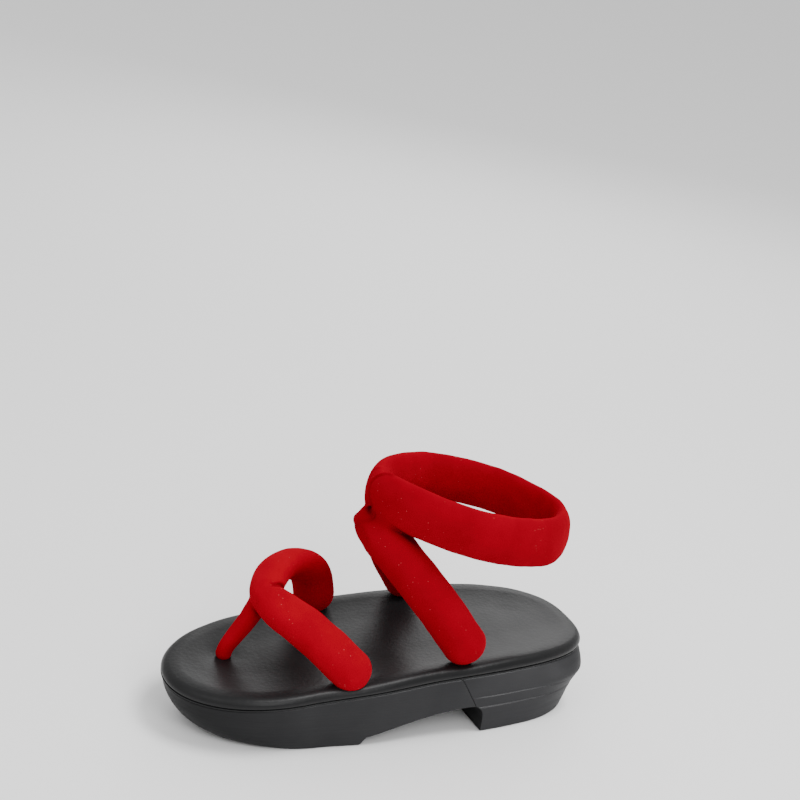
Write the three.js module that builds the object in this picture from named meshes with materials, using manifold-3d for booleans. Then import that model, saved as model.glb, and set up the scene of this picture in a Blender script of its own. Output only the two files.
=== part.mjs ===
// Left geta sandal: moulded platform, padded footbed, plush toe strap and plush ankle strap.
// Millimetres, +Z up, toe towards -Y, +X is the outer side of a left foot.
// The origin is on the ground under the middle of the sole.
import * as THREE from "three";
import { mergeVertices } from "three/addons/utils/BufferGeometryUtils.js";
import Module from "manifold-3d";

// Sole outline
const soleLength = 260;
const ballWidth = 94.2;
const heelWidth = 96.5;
const toeRound = 67.2;
const heelRound = 110.4;
const toePower = 2.06;
const heelPower = 2.71;
const sideBulge = 1.8;
const squarePower = 4.6;
const squareStart = 200;
const squareFadeLength = 40;

// Height of the platform's upper edge above the ground
const toeEdgeHeight = 26.3;
const ballEdgeHeight = 34.7;
const waistEdgeHeight = 41.3;
const heelEdgeHeight = 39.4;

// Platform sides and underside
const frontDraft = 7.4;
const rearDraft = 4.2;
const toeTuck = 28.5;
const heelChamfer = 4.6;
const ribStep = 0.8;
const ribStart = 166;
const ribFadeLength = 18;
const treadLength = 106.2;
const treadStepHeight = 4.9;
const treadStepLength = 2.1;
const archRoofHeight = 18.7;
const archRoofLength = 65.2;
const archFullness = 0.7;
const heelFilletLength = 10.2;
const heelFilletHeight = 12.7;
const heelFaceLean = 0.9;

// Padded footbed
const padThickness = 7.2;
const padOverhang = 0.9;
const clearance = 0.3;

// Plush straps
const toeStrapWidth = 24;
const toeStrapThickness = 17.6;
const ankleStrapWidth = 25.5;
const ankleStrapThickness = 20;
const ringStrapWidth = 29;
const toeStrapHeight = 35.4;
const ankleStrapHeight = 76.4;
const toeStrapHalfSpan = 41.5;
const ankleStrapHalfSpan = 39.5;
const toeStrapReach = 40;
const ankleStrapReach = 60;
const toeStrapStation = 90;
const ankleStrapStation = 161;

// Ring round the ankle, a tilted oval
const ringHalfWidth = 39;
const ringHalfLength = 54.5;
const ringStation = 171.5;
const ringRise = 2.9;
const ringSlope = 0.17;

// Height, as a share of the ankle strap's, of the point that its branches face away from
const hubRise = 0.15;

// Hidden strap necks, their sockets and the post between the toes
const neckRadius = 5.5;
const neckSide = 0.94;
const socketDepth = 12;
const postTopRadius = 6.5;
const postFootRadius = 4.6;
const postStation = 38;
const postSide = -9;
const postTopSide = -7.2;
const postTopBack = 3;

// Facets and overlaps
const outlineSteps = 28;
const tubeSides = 16;
const toeStations = 18;
const legStations = 22;
const ringStations = 56;
const endCrowding = 0.7;
const archSegments = 10;
const cutOverlap = 1;
const weldDistance = 0.001;

const wasm = await Module();
wasm.setup();

const lerp = THREE.MathUtils.lerp;

// Half width of the footbed at a share of the sole's length from the toe.
function outlineHalf(share) {
  const fromToe = share * soleLength;
  const fromHeel = soleLength - fromToe;
  if (fromToe < toeRound) {
    const rest = 1 - fromToe / toeRound;
    return (ballWidth / 2) * (1 - rest ** toePower) ** (1 / toePower);
  }
  if (fromHeel < heelRound) {
    const rest = 1 - fromHeel / heelRound;
    return (heelWidth / 2) * (1 - rest ** heelPower) ** (1 / heelPower);
  }
  const u = (fromToe - toeRound) / (soleLength - toeRound - heelRound);
  const blend = u * u * (3 - 2 * u);
  return lerp(ballWidth, heelWidth, blend) / 2 + sideBulge * (4 * u * (1 - u)) ** 2;
}

// Half width of the platform where it swells behind the heel, squarer than the footbed.
function squareHalf(share) {
  const rest = 1 - (soleLength * (1 - share)) / heelRound;
  return (heelWidth / 2) * (1 - rest ** squarePower) ** (1 / squarePower);
}

// Height of the platform's upper edge, a cubic through four heights at thirds of the length.
function edgeHeight(share) {
  const heights = [toeEdgeHeight, ballEdgeHeight, waistEdgeHeight, heelEdgeHeight];
  let sum = 0;
  heights.forEach((height, i) => {
    let weight = 1;
    heights.forEach((_, j) => {
      if (j !== i) weight *= (share * 3 - j) / (i - j);
    });
    sum += height * weight;
  });
  return sum;
}

const yAt = (fromToe) => fromToe - soleLength / 2;
const shareAt = (y) => THREE.MathUtils.clamp(y / soleLength + 0.5, 0, 1);
const padTop = (y) => edgeHeight(shareAt(y)) + clearance + padThickness;

// One closed ring of the sole: toe tip, outer side, heel tip, inner side.
// place(share, half) gives the ring's own side, along and height there.
function soleRing(place) {
  const ring = [];
  for (let i = 0; i < 2 * outlineSteps; i++) {
    const k = i <= outlineSteps ? i : 2 * outlineSteps - i;
    const share = (1 - Math.cos((Math.PI * k) / outlineSteps)) / 2;
    const half = k % outlineSteps === 0 ? 0 : outlineHalf(share);
    const [side, along, height] = place(share, half);
    ring.push([i <= outlineSteps ? side : -side, along, height]);
  }
  return ring;
}

// Body through rings of equal count; the end rings are closed straight across.
function loft(rings) {
  const count = rings[0].length;
  const faces = [];
  for (let r = 0; r + 1 < rings.length; r++) {
    for (let i = 0; i < count; i++) {
      const j = (i + 1) % count;
      const low = r * count;
      const high = low + count;
      faces.push([low + i, low + j, high + j], [low + i, high + j, high + i]);
    }
  }
  const top = (rings.length - 1) * count;
  for (let i = 0; i < count / 2; i++) {
    const left = (count - i) % count;
    const nextLeft = count - i - 1;
    for (const [base, flip] of [[0, true], [top, false]]) {
      const quad = [base + i, base + i + 1, base + nextLeft, base + left];
      if (flip) quad.reverse();
      faces.push([quad[0], quad[1], quad[2]], [quad[0], quad[2], quad[3]]);
    }
  }
  return solid(rings.flat(), faces);
}

// Closed solid from points and triangles; faces with no area are left out.
function solid(points, faces) {
  const geometry = new THREE.BufferGeometry();
  geometry.setAttribute("position", new THREE.Float32BufferAttribute(points.flat(), 3));
  geometry.setIndex(faces.flat());
  return toManifold(geometry);
}

function toManifold(geometry) {
  const bare = geometry.index ? geometry.toNonIndexed() : geometry.clone();
  bare.deleteAttribute("normal");
  bare.deleteAttribute("uv");
  const merged = mergeVertices(bare, weldDistance);
  const index = merged.index.array;
  const kept = [];
  for (let i = 0; i < index.length; i += 3) {
    const [a, b, c] = [index[i], index[i + 1], index[i + 2]];
    if (a !== b && b !== c && c !== a) kept.push(a, b, c);
  }
  const positions = merged.attributes.position.array;
  let volume = 0;
  const [a, b, c] = [new THREE.Vector3(), new THREE.Vector3(), new THREE.Vector3()];
  for (let i = 0; i < kept.length; i += 3) {
    a.fromArray(positions, 3 * kept[i]);
    b.fromArray(positions, 3 * kept[i + 1]);
    c.fromArray(positions, 3 * kept[i + 2]);
    volume += a.dot(b.cross(c));
  }
  if (volume < 0) kept.reverse();
  const mesh = new wasm.Mesh({
    numProp: 3,
    vertProperties: positions,
    triVerts: new Uint32Array(kept),
  });
  return new wasm.Manifold(mesh);
}

// Round peg or hole between two points.
function peg(from, to, fromRadius, toRadius) {
  const start = new THREE.Vector3(...from);
  const end = new THREE.Vector3(...to);
  const length = start.distanceTo(end);
  const geometry = new THREE.CylinderGeometry(toRadius, fromRadius, length, tubeSides);
  const turn = new THREE.Quaternion().setFromUnitVectors(
    new THREE.Vector3(0, 1, 0),
    end.clone().sub(start).normalize(),
  );
  geometry.applyQuaternion(turn);
  const middle = start.add(end).multiplyScalar(0.5);
  geometry.translate(middle.x, middle.y, middle.z);
  return toManifold(geometry);
}

// Levels of the platform's side, from the ground up.
// rise is a share of the edge height; side, toe and heel are shares of the draft, tuck and
// chamfer; rib is a share of the rib step.
const PLATFORM_LEVELS = [
  { rise: 0, side: 1, toe: 1, heel: 1, rib: 1, square: 0.26 },
  { rise: 0.1, side: 0.88, toe: 0.66, heel: 0.72, rib: 1, square: 0.24 },
  { rise: 0.26, side: 0.72, toe: 0.42, heel: 0.34, rib: 1, square: 0.22 },
  { rise: 0.425, side: 0.56, toe: 0.27, heel: 0.06, rib: 1, square: 0.28 },
  { rise: 0.445, side: 0.54, toe: 0.25, heel: 0.04, rib: 0.45, square: 0.3 },
  { rise: 0.6, side: 0.39, toe: 0.15, heel: -0.1, rib: 0.45, square: 0.5 },
  { rise: 0.62, side: 0.37, toe: 0.14, heel: -0.12, rib: 0, square: 0.54 },
  { rise: 0.72, side: 0.27, toe: 0.09, heel: -0.18, rib: 0, square: 0.66 },
  { rise: 0.82, side: 0.18, toe: 0.05, heel: -0.19, rib: 0, square: 0.5 },
  { rise: 0.93, side: 0.07, toe: 0.02, heel: -0.17, rib: 0, square: 0.18 },
  { rise: 1, side: 0, toe: 0, heel: 0, rib: 0, square: 0 },
];

function platformRing({ rise, side, toe, heel, rib, square }) {
  const widest = Math.max(ballWidth, heelWidth) / 2;
  return soleRing((share, footbedHalf) => {
    const station = share * soleLength;
    const y = yAt(station);
    const rear = THREE.MathUtils.smoothstep(station, squareStart, squareStart + squareFadeLength);
    const swell = rear > 0 && footbedHalf > 0 ? squareHalf(share) - footbedHalf : 0;
    const half = footbedHalf + swell * rear * square;
    const ribs = THREE.MathUtils.smoothstep(station, ribStart, ribStart + ribFadeLength);
    const out = rib * ribs * ribStep;
    const draft = padOverhang + side * lerp(frontDraft, rearDraft, share) - out;
    const ends = padOverhang + (y < 0 ? toe * toeTuck : heel * heelChamfer) - out;
    return [half * (1 - draft / widest), y * (1 - (2 * ends) / soleLength), rise * edgeHeight(share)];
  });
}

// Side view of what is cut away under the arch, extruded right across.
function archCut() {
  const profile = new THREE.Shape();
  const front = yAt(treadLength);
  const step = front + treadStepLength;
  const roofEnd = step + archRoofLength;
  const heelFront = roofEnd + heelFilletLength;
  profile.moveTo(front, -cutOverlap);
  profile.lineTo(front, 0);
  profile.lineTo(step, treadStepHeight);
  profile.quadraticCurveTo(
    lerp(step, roofEnd, archFullness),
    archRoofHeight,
    roofEnd,
    archRoofHeight,
  );
  profile.quadraticCurveTo(
    heelFront - heelFaceLean,
    archRoofHeight,
    heelFront - heelFaceLean,
    archRoofHeight - heelFilletHeight,
  );
  profile.lineTo(heelFront, 0);
  profile.lineTo(heelFront, -cutOverlap);
  profile.closePath();
  const width = Math.max(ballWidth, heelWidth) + 2 * sideBulge;
  const geometry = new THREE.ExtrudeGeometry(profile, {
    depth: width,
    bevelEnabled: false,
    curveSegments: archSegments,
  });
  // The profile's x becomes Y, its y becomes Z, and the extrusion runs along X.
  geometry.applyMatrix4(new THREE.Matrix4().makeBasis(
    new THREE.Vector3(0, 1, 0),
    new THREE.Vector3(0, 0, 1),
    new THREE.Vector3(1, 0, 0),
  ));
  geometry.translate(-width / 2, 0, 0);
  return toManifold(geometry);
}

// Levels of the footbed. rise is a share of its thickness, inset a share of the ball width.
const PAD_LEVELS = [
  { rise: 0, inset: 0.0095 },
  { rise: 0.28, inset: 0.002 },
  { rise: 0.58, inset: 0 },
  { rise: 0.8, inset: 0.007 },
  { rise: 0.93, inset: 0.02 },
  { rise: 1, inset: 0.045 },
  { rise: 0.99, inset: 0.08 },
  { rise: 0.9, inset: 0.14 },
  { rise: 0.8, inset: 0.22 },
  { rise: 0.76, inset: 0.34 },
];

function padBody(growth) {
  const widest = Math.max(ballWidth, heelWidth) / 2;
  return loft(PAD_LEVELS.map(({ rise, inset }) => {
    const inward = inset * ballWidth - growth;
    return soleRing((share, half) => {
      const y = yAt(share * soleLength);
      const low = rise === 0 ? clearance - growth : clearance + growth;
      return [
        half * (1 - inward / widest),
        y * (1 - (2 * inward) / soleLength),
        edgeHeight(share) + low + rise * padThickness,
      ];
    });
  }));
}

// Value at t, from 0 to 1, in a list of evenly spaced values.
function shareAlong(values, t) {
  const place = t * (values.length - 1);
  const low = Math.min(Math.floor(place), values.length - 2);
  return lerp(values[low], values[low + 1], place - low);
}

// Plush tube with round ends along a smooth path.
// Its thin side faces away from the hub, a point inside the foot, and slim holds a share of
// the thickness for each point of the path.
function plushTube(points, hub, width, thickness, stations, slim = points.map(() => 1)) {
  const curve = new THREE.CatmullRomCurve3(
    points.map((p) => new THREE.Vector3(...p)),
    false,
    "centripetal",
  );
  const length = curve.getLength();
  const round = width / 2;
  const rings = [];
  for (let i = 1; i < stations; i++) {
    const wave = (1 - Math.cos((Math.PI * i) / stations)) / 2;
    const u = lerp(i / stations, wave, endCrowding);
    const fromEnd = Math.min(u, 1 - u) * length;
    const dome = fromEnd < round ? Math.sqrt(1 - (1 - fromEnd / round) ** 2) : 1;
    const at = curve.getPointAt(u);
    const tangent = curve.getTangentAt(u);
    const out = at.clone().sub(new THREE.Vector3(...hub(at)));
    out.addScaledVector(tangent, -out.dot(tangent)).normalize();
    const across = new THREE.Vector3().crossVectors(tangent, out);
    const deep = (dome * thickness * shareAlong(slim, curve.getUtoTmapping(u))) / 2;
    const ring = [];
    for (let k = 0; k < tubeSides; k++) {
      const angle = (2 * Math.PI * k) / tubeSides;
      const p = at.clone()
        .addScaledVector(out, deep * Math.cos(angle))
        .addScaledVector(across, (dome * width * Math.sin(angle)) / 2);
      ring.push(p.toArray());
    }
    rings.push(ring);
  }
  const faces = [];
  rings.slice(1).forEach((_, r) => {
    for (let k = 0; k < tubeSides; k++) {
      const j = (k + 1) % tubeSides;
      const low = r * tubeSides;
      const high = low + tubeSides;
      faces.push([low + k, low + j, high + j], [low + k, high + j, high + k]);
    }
  });
  const tips = [curve.getPointAt(0).toArray(), curve.getPointAt(1).toArray()];
  const startTip = rings.length * tubeSides;
  const last = (rings.length - 1) * tubeSides;
  for (let k = 0; k < tubeSides; k++) {
    const j = (k + 1) % tubeSides;
    faces.push([startTip, j, k], [startTip + 1, last + k, last + j]);
  }
  return solid([...rings.flat(), ...tips], faces);
}

// Side of the foot: 1 is the outer side, -1 the inner side.
const SIDES = [1, -1];

// Strap branches from the footbed up to the middle, the outer side first.
// side, reach and rise are shares of the half span, the strap's reach forwards and its height.
const TOE_BRANCHES = {
  outer: [
    { side: 1.04, reach: -0.26, rise: -0.03 },
    { side: 0.99, reach: -0.1, rise: 0.16 },
    { side: 0.89, reach: 0.08, rise: 0.33 },
    { side: 0.7, reach: 0.3, rise: 0.54 },
    { side: 0.46, reach: 0.52, rise: 0.71 },
    { side: 0.2, reach: 0.76, rise: 0.86 },
    { side: 0, reach: 0.92, rise: 0.96 },
    { side: -0.12, reach: 1, rise: 0.97 },
  ],
  inner: [
    { side: 0.97, reach: -0.42, rise: -0.08 },
    { side: 0.96, reach: -0.36, rise: 0.3 },
    { side: 0.93, reach: -0.22, rise: 0.7 },
    { side: 0.84, reach: 0.04, rise: 0.93 },
    { side: 0.69, reach: 0.33, rise: 1.04 },
    { side: 0.51, reach: 0.61, rise: 1.06 },
    { side: 0.32, reach: 0.79, rise: 1.0 },
    { side: 0.17, reach: 0.84, rise: 0.9 },
    { side: 0.05, reach: 0.8, rise: 0.8 },
  ],
};

const ANKLE_BRANCHES = {
  outer: [
    { side: 1.04, reach: -0.17, rise: 0.01 },
    { side: 1.0, reach: -0.05, rise: 0.12 },
    { side: 0.95, reach: 0.15, rise: 0.31 },
    { side: 0.83, reach: 0.42, rise: 0.56 },
    { side: 0.62, reach: 0.65, rise: 0.76 },
    { side: 0.34, reach: 0.81, rise: 0.91 },
    { side: 0.05, reach: 0.9, rise: 0.99 },
  ],
  inner: [
    { side: 1.04, reach: -0.17, rise: 0.01 },
    { side: 1.0, reach: -0.05, rise: 0.12 },
    { side: 0.95, reach: 0.13, rise: 0.31 },
    { side: 0.82, reach: 0.34, rise: 0.56 },
    { side: 0.6, reach: 0.54, rise: 0.76 },
    { side: 0.34, reach: 0.71, rise: 0.9 },
    { side: 0.05, reach: 0.79, rise: 0.95 },
    { side: -0.08, reach: 0.78, rise: 0.95 },
  ],
};

function branchPoints(hand, { rows, halfSpan, reach, height, station }) {
  const foot = yAt(station);
  return (hand > 0 ? rows.outer : rows.inner).map((row) => [
    hand * row.side * halfSpan,
    foot - row.reach * reach,
    padTop(foot) + row.rise * height,
  ]);
}

const TOE = {
  rows: TOE_BRANCHES,
  halfSpan: toeStrapHalfSpan,
  reach: toeStrapReach,
  height: toeStrapHeight,
  station: toeStrapStation,
};
const ANKLE = {
  rows: ANKLE_BRANCHES,
  halfSpan: ankleStrapHalfSpan,
  reach: ankleStrapReach,
  height: ankleStrapHeight,
  station: ankleStrapStation,
};

// Hidden necks that go down through the footbed into the platform.
function neckPegs(strap, radius, top) {
  return SIDES.map((hand) => {
    const x = hand * strap.halfSpan * neckSide;
    const y = branchPoints(hand, strap)[1][1];
    const foot = edgeHeight(shareAt(y)) - socketDepth;
    const low = radius === neckRadius ? foot : foot - clearance;
    return peg([x, y, low], [x, y, padTop(y) + top], radius, radius);
  });
}

function postPeg(growth) {
  const y = yAt(postStation);
  const apex = branchPoints(1, TOE).at(-2);
  const foot = [postSide, y, edgeHeight(shareAt(y)) - socketDepth - growth];
  const knee = [postSide, y, padTop(y)];
  const radius = postFootRadius + growth;
  const shaft = peg(foot, [postSide, y, padTop(y) + cutOverlap], radius, radius);
  if (growth > 0) return shaft;
  const top = [postTopSide, apex[1] + postTopBack, apex[2]];
  return shaft.add(peg(knee, top, postFootRadius, postTopRadius));
}

const join = (parts) => parts.reduce((sum, part) => sum.add(part));
const cut = (body, parts) => parts.reduce((sum, part) => sum.subtract(part), body);

function makePlatform(holes) {
  const body = loft(PLATFORM_LEVELS.map(platformRing)).subtract(archCut());
  return cut(body, holes);
}

function makeToeStrap() {
  const hub = () => [0, yAt(toeStrapStation), padTop(yAt(toeStrapStation))];
  const tubes = SIDES.map((hand) =>
    plushTube(branchPoints(hand, TOE), hub, toeStrapWidth, toeStrapThickness, toeStations));
  const strap = join([...tubes, postPeg(0)]).subtract(padBody(clearance));
  return join([strap, postPeg(0), ...neckPegs(TOE, neckRadius, toeStrapThickness / 2)]);
}

// Ring path from the closed end on the outer side, round the back, to the covered inner end.
// turn is a share of a full turn from the front, out and down are shares of the thickness.
const RING_ROWS = [
  { turn: -0.018, out: 0.22, down: -0.14, slim: 0.8 },
  { turn: 0.04, out: 0.22, down: -0.14, slim: 0.78 },
  { turn: 0.12, out: 0.08, down: -0.1, slim: 0.76 },
  { turn: 0.2, out: 0, down: 0, slim: 0.72 },
  { turn: 0.28, out: 0, down: 0.06, slim: 0.68 },
  { turn: 0.36, out: 0, down: 0.13, slim: 0.62 },
  { turn: 0.43, out: 0, down: 0.17, slim: 0.56 },
  { turn: 0.5, out: 0, down: 0.2, slim: 0.54 },
  { turn: 0.57, out: 0, down: 0.22, slim: 0.54 },
  { turn: 0.64, out: 0, down: 0.18, slim: 0.58 },
  { turn: 0.72, out: 0, down: 0.16, slim: 0.64 },
  { turn: 0.8, out: 0, down: 0.18, slim: 0.7 },
  { turn: 0.88, out: 0, down: 0.24, slim: 0.72 },
  { turn: 0.95, out: -0.1, down: 0.3, slim: 0.7 },
  { turn: 1.02, out: -0.2, down: 0.42, slim: 0.66 },
];

function ringPoint({ turn, out, down, slim }) {
  const angle = 2 * Math.PI * turn;
  const away = (out + (1 - slim) / 2) * ankleStrapThickness;
  const x = (ringHalfWidth + away) * Math.sin(angle);
  const along = (ringHalfLength + away) * Math.cos(angle);
  const level = padTop(yAt(ankleStrapStation)) + ankleStrapHeight + ringRise;
  const z = level + ringSlope * along - down * ankleStrapThickness;
  return [x, yAt(ringStation) - along, z];
}

function makeAnkleStrap() {
  const heelSide = yAt(ringStation);
  const hub = () => [0, heelSide, padTop(0) + ankleStrapHeight * hubRise];
  const legs = SIDES.map((hand) =>
    plushTube(branchPoints(hand, ANKLE), hub, ankleStrapWidth, ankleStrapThickness, legStations));
  const level = (at) => [0, heelSide, at.z];
  const slim = RING_ROWS.map((row) => row.slim);
  const path = RING_ROWS.map(ringPoint);
  const ring = plushTube(path, level, ringStrapWidth, ankleStrapThickness, ringStations, slim);
  const strap = join([...legs, ring]).subtract(padBody(clearance));
  return join([strap, ...neckPegs(ANKLE, neckRadius, ankleStrapThickness / 2)]);
}

const holes = [
  ...neckPegs(TOE, neckRadius + clearance, clearance + cutOverlap),
  ...neckPegs(ANKLE, neckRadius + clearance, clearance + cutOverlap),
  postPeg(clearance),
];

function addMesh(group, name, body, color, roughness) {
  const mesh = body.getMesh();
  const geometry = new THREE.BufferGeometry();
  geometry.setAttribute("position", new THREE.Float32BufferAttribute(mesh.vertProperties, 3));
  geometry.setIndex(new THREE.Uint32BufferAttribute(mesh.triVerts, 1));
  geometry.computeVertexNormals();
  const material = new THREE.MeshStandardMaterial({ color, roughness, metalness: 0 });
  const node = new THREE.Mesh(geometry, material);
  node.name = name;
  group.add(node);
}

const sandal = new THREE.Group();
addMesh(sandal, "platform", makePlatform(holes), 0x2b2b2d, 0.55);
addMesh(sandal, "footbed", cut(padBody(0), holes), 0x3a3a3d, 0.42);
addMesh(sandal, "toe_strap", makeToeStrap(), 0xc8101c, 0.95);
addMesh(sandal, "ankle_strap", makeAnkleStrap(), 0xc8101c, 0.95);

export default sandal;
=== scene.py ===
"""Left geta sandal: moulded platform, padded footbed, plush toe strap and plush ankle strap.

Sizes are millimetres and become metres in new_mesh. +Z is up, the toe points to -Y and
+X is the outer side of the foot, as in the CAD frame. A share is a part of a length, 0 to 1,
from the toe or from the ground unless its comment says otherwise.
"""

import math

import bpy
import bmesh
import numpy as np
from mathutils import Matrix, Vector, noise


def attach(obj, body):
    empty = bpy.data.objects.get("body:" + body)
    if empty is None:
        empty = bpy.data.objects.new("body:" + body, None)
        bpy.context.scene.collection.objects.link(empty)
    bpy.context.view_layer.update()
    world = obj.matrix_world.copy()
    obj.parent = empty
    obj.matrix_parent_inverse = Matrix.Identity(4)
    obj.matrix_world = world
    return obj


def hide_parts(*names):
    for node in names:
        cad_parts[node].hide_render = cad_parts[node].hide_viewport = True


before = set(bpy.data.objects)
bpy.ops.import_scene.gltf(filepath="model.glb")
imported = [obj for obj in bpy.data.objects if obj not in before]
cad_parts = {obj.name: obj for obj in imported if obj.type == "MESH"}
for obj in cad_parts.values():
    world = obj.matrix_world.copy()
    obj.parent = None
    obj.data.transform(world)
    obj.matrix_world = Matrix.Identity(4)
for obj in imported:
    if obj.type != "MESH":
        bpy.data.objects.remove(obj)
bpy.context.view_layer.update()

MM = 0.001
# Points closer than this are merged, and thinner faces are dropped, in metres
MERGE, SLIVER = 1e-6, 1e-7

# Sole outline
SOLE_LENGTH = 260.0
BALL_WIDTH = 94.2
HEEL_WIDTH = 96.5
TOE_ROUND = 67.2
HEEL_ROUND = 110.4
TOE_POWER = 2.06
HEEL_POWER = 2.71
SIDE_BULGE = 1.8
SQUARE_POWER = 4.6
SQUARE_START = 200.0
SQUARE_FADE = 40.0
WIDEST = HEEL_WIDTH / 2
HALF_LENGTH = SOLE_LENGTH / 2

# Heights of the platform's upper edge at thirds of the length, from the toe
EDGE_HEIGHTS = (26.3, 34.7, 41.3, 39.4)

# Platform sides and underside
FRONT_DRAFT = 7.4
REAR_DRAFT = 4.2
TOE_TUCK = 28.5
HEEL_CHAMFER = 4.6
TREAD_LENGTH = 106.2
STEP_HEIGHT = 4.9
STEP_LENGTH = 2.1
ROOF_HEIGHT = 18.7
ROOF_LENGTH = 65.2
FILLET_LENGTH = 10.2
FILLET_HEIGHT = 12.7
FACE_LEAN = 0.9
STEP_SOFT = 1.2
EDGE_FILLET = 1.3
LIP_ROUND = 1.1

# Rib steps on the heel's side: how far they stand out, where along the sole they fade in and
# nearly out, how much is then gone, and each one's part and the shares of the height it spans
RIB_STEP = 0.8
RIB_START, RIB_FULL = 166.0, 184.0
RIB_END, RIB_GONE = 222.0, 246.0
RIB_LOSS = 0.85
RIBS = [(0.55, 0.423, 0.446), (0.45, 0.6, 0.622)]

# The mould's parting line on the side: y at the arch and at the upper edge, the groove's depth and
# width, and the distances from it at which columns of points stand
SEAM_LOW, SEAM_HIGH = 46.6, 31.2
SEAM_DEPTH, SEAM_WIDTH = 0.5, 0.36
SEAM_STEPS = (-2.2, -1.5, -1.0, -0.7, -0.5, -0.34, -0.18, 0, 0.18, 0.34, 0.5, 0.7, 1.0, 1.5, 2.2)
FAR_FROM_SEAM = 99.0

# Footbed
PAD_THICKNESS = 7.2
PAD_OVERHANG = 0.9
CLEARANCE = 0.3

# Straps: the stuffed tube's width and thickness, and how far its middle line goes sideways, forwards
# and up. foot and station are distances from the toe's tip, top_y and top_z are places
TOE_STRAP = {"width": 24.0, "thick": 17.6, "span": 41.5, "reach": 40.0, "height": 35.4,
             "foot": 90.0}
ANKLE_STRAP = {"width": 25.5, "thick": 20.0, "span": 39.5, "reach": 60.0, "height": 76.4,
               "foot": 161.0}
RING = {"width": 29.0, "half_width": 39.0, "half_length": 54.5, "station": 171.5, "rise": 2.9,
        "slope": 0.17}
POST = {"side": -9.0, "station": 38.0, "top_side": -7.2, "top_y": -73.8, "top_z": 75.7}

# Platform's side: rise, then shares of the side draft, toe tuck, heel chamfer and heel's square swell
SIDE_LEVELS = np.array([
    (0.0, 1.0, 1.0, 1.0, 0.26), (0.1, 0.88, 0.66, 0.72, 0.24), (0.26, 0.72, 0.42, 0.34, 0.22),
    (0.435, 0.55, 0.26, 0.05, 0.29), (0.61, 0.38, 0.145, -0.11, 0.52),
    (0.72, 0.27, 0.09, -0.18, 0.66), (0.82, 0.18, 0.05, -0.19, 0.5),
    (0.93, 0.07, 0.02, -0.17, 0.18), (1.0, 0.0, 0.0, 0.0, 0.0),
])
RISE, DRAFT, TUCK, CHAMFER, SWELL = range(5)
# Footbed: rise as a share of its thickness, inset as a share of the ball width. The first rows are
# the lip above the groove, then come the side, the roll and the dished top
PAD_LEVELS = np.array([
    (0.0, 0.012), (0.04, 0.0045), (0.09, 0.0028), (0.13, 0.005), (0.15, 0.0125), (0.18, 0.012),
    (0.22, 0.0055), (0.3, 0.0022), (0.4, 0.001), (0.52, 0.0025), (0.66, 0.0075), (0.8, 0.0155),
    (0.92, 0.029), (0.985, 0.046), (1.0, 0.066), (0.985, 0.092), (0.91, 0.14), (0.82, 0.22),
    (0.76, 0.34), (0.76, WIDEST / BALL_WIDTH),
])
# Rows between which the pad's height passes from that of its outline to that under the point itself
ROLL_ROW, DISH_ROW = 12, 16
# Toe strap as one run from its outer foot to its inner foot: side, reach and rise as shares of
# span, reach and height, then shares of the strap's width and thickness
TOE_ROWS = [
    (1.04, -0.26, -0.03, 1, 1), (0.99, -0.1, 0.16, 1, 1), (0.89, 0.08, 0.33, 1, 1),
    (0.7, 0.3, 0.54, 0.99, 1), (0.46, 0.52, 0.702, 0.98, 1), (0.2, 0.755, 0.843, 0.92, 1),
    (0.04, 0.865, 0.925, 0.82, 0.98), (-0.09, 0.87, 0.965, 0.8, 0.96), (-0.27, 0.78, 1.0, 0.9, 0.98),
    (-0.49, 0.6, 1.05, 0.98, 1), (-0.69, 0.33, 1.04, 1, 1), (-0.84, 0.04, 0.93, 1, 1),
    (-0.93, -0.22, 0.7, 1, 1), (-0.96, -0.36, 0.3, 1, 1), (-0.97, -0.42, -0.08, 1, 1),
]
# Ankle strap's legs as one run over the instep, in the same way
ANKLE_ROWS = [
    (1.04, -0.17, 0.01, 1, 1), (1.0, -0.05, 0.12, 1, 1), (0.95, 0.15, 0.31, 1, 1),
    (0.83, 0.42, 0.56, 1, 1), (0.62, 0.65, 0.76, 1, 1), (0.34, 0.81, 0.91, 1, 1),
    (0.1, 0.855, 0.955, 0.86, 0.98), (-0.1, 0.78, 0.935, 0.7, 0.9), (-0.31, 0.68, 0.88, 0.76, 0.92),
    (-0.6, 0.54, 0.76, 0.96, 1), (-0.82, 0.34, 0.56, 1, 1),
    (-0.95, 0.13, 0.31, 1, 1), (-1.0, -0.05, 0.12, 1, 1), (-1.04, -0.17, 0.01, 1, 1),
]
# Ring: turn from the front, out and down as shares of the strap's thickness, and share of thickness
RING_ROWS = [
    (-0.014, 0.22, -0.14, 0.8), (0.04, 0.22, -0.14, 0.78), (0.12, 0.08, -0.1, 0.76), (0.2, 0, 0, 0.72),
    (0.28, 0, 0.06, 0.68), (0.36, 0, 0.13, 0.62), (0.43, 0, 0.17, 0.56), (0.5, 0, 0.2, 0.54),
    (0.57, 0, 0.22, 0.54), (0.64, 0, 0.18, 0.58), (0.72, 0, 0.16, 0.64), (0.8, 0, 0.18, 0.7),
    (0.88, 0, 0.24, 0.72), (0.95, -0.1, 0.3, 0.7), (1.02, -0.2, 0.42, 0.66),
]
# Toe post: height as a share of the way up, share of the way across to its upper end, and radius
POST_ROWS = [(-0.1, -0.03, 4.6), (0.1, 0.0, 4.6), (0.6, 0.62, 5.3), (1.0, 1.0, 6.5)]

# Spots where the pad is pressed in: x, y, radius and depth
PRESSED_SPOTS = [(41, -33, 13, 0.8), (-39, -26, 12, 0.8), (40, 37, 14, 0.8), (-40, 37, 14, 0.8),
                 (POST["side"], -92, 9, 0.9)]

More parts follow.
